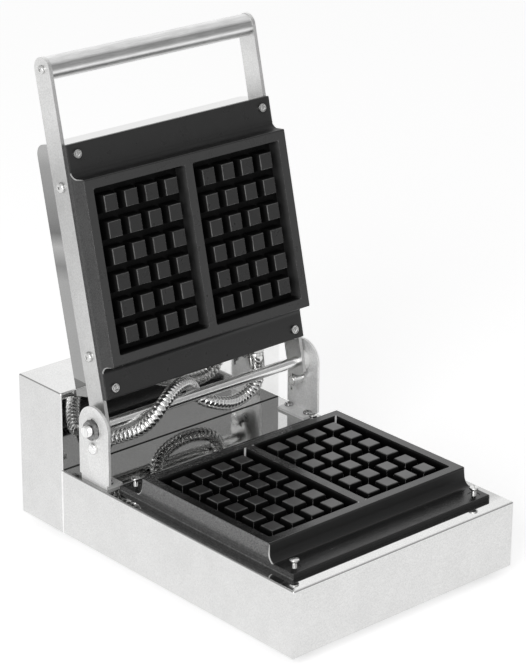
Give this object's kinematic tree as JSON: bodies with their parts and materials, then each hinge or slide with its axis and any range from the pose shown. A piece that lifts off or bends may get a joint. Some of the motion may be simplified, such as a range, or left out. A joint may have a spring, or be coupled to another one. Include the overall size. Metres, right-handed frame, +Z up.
{
  "type": "waffle maker",
  "caption": "Commercial double waffle maker: steel base, rear control box, hinged lid standing open on its stops, grid baking plates, bar handle and flexible conduit.",
  "frame": {"origin": "on the table under the middle of the outer box", "axes": "+X across to the side with the controls, +Y from the front panel to the control box, +Z up"},
  "size_m": [0.3282, 0.448, 0.512],
  "materials": {
    "steel_panel": "brushed stainless sheet, bright",
    "steel_bright": "satin polished stainless bar and tube",
    "steel_inner": "plain sheet, dull",
    "zinc": "bright plated fasteners",
    "cast_black": "cast, black non-stick baked coating, fine grain",
    "heater": "tubular heater sheath, heat tinted",
    "wool": "compressed mineral wool",
    "conduit": "bright corrugated metal hose",
    "nickel": "nickel plated brass glands",
    "white_plastic": "white heat resistant spacer",
    "black_plastic": "black moulded plastic",
    "rubber": "black rubber",
    "lamp_lens": "amber translucent lens"
  },
  "bodies": {
    "base": {"base_housing": "steel_panel", "control_box_shell": "steel_panel", "back_panel": "steel_panel", "base_plate": "steel_inner", "rubber_feet": "rubber", "foot_screws": "zinc", "panel_screws": "zinc", "fixing_nuts": "zinc", "lower_plate": "cast_black", "lower_plate_screws": "zinc", "lower_heating_element": "heater", "lower_heater_clamp": "steel_inner", "lower_clamp_bolts": "zinc", "lower_insulation": "wool", "lower_heat_shield": "steel_inner", "lower_sensor_bulb": "nickel", "hinge_bracket_left": "steel_bright", "hinge_bracket_right": "steel_bright", "bracket_screws": "zinc", "hinge_rod": "zinc", "hinge_washers": "zinc", "hinge_nuts": "zinc", "hinge_spacers": "white_plastic", "stop_pins": "zinc", "stop_pin_nuts": "zinc", "retaining_clips": "zinc", "box_conduit_gland": "nickel", "box_gland_nut": "nickel", "flex_conduit": "conduit", "thermostat_body": "steel_inner", "timer_body": "steel_inner", "switch_body": "black_plastic", "pilot_lamps": "lamp_lens", "terminal_block": "black_plastic", "contactor": "black_plastic", "cable_gland": "black_plastic", "cable_gland_nut": "black_plastic", "bonding_stud": "nickel"},
    "lid": {"lid_shell": "steel_panel", "lid_arm_left": "steel_bright", "lid_arm_right": "steel_bright", "arm_screws": "zinc", "arm_nuts": "zinc", "handle_tube": "steel_bright", "handle_plugs": "steel_inner", "handle_screws": "zinc", "upper_plate": "cast_black", "upper_plate_screws": "zinc", "upper_plate_nuts": "zinc", "upper_heating_element": "heater", "upper_heater_clamp": "steel_inner", "upper_clamp_bolts": "zinc", "upper_insulation": "wool", "upper_sensor_bulb": "nickel", "lid_conduit_gland": "nickel", "lid_gland_nut": "nickel"},
    "thermostat_dial": {"thermostat_knob": "black_plastic"},
    "timer_dial": {"timer_knob": "black_plastic"},
    "switch_rocker": {"power_rocker": "black_plastic"}
  },
  "joints": [
    {"name": "lid_hinge", "type": "hinge", "parent": "base", "child": "lid", "pos_m": [-0.0079, 0.086, 0.1423], "axis": [1, 0, 0], "range_deg": [0, 103.1], "deforming": ["flex_conduit"]},
    {"name": "thermostat_turn", "type": "hinge", "parent": "base", "child": "thermostat_dial", "pos_m": [0.1421, 0.177, 0.134], "axis": [1, 0, 0], "range_deg": [-270, 0]},
    {"name": "timer_turn", "type": "hinge", "parent": "base", "child": "timer_dial", "pos_m": [0.1421, 0.177, 0.089], "axis": [1, 0, 0], "range_deg": [-300, 0]},
    {"name": "power_rock", "type": "hinge", "parent": "base", "child": "switch_rocker", "pos_m": [0.1426, 0.177, 0.046], "axis": [0, -1, 0], "range_deg": [0, 24]}
  ]
}
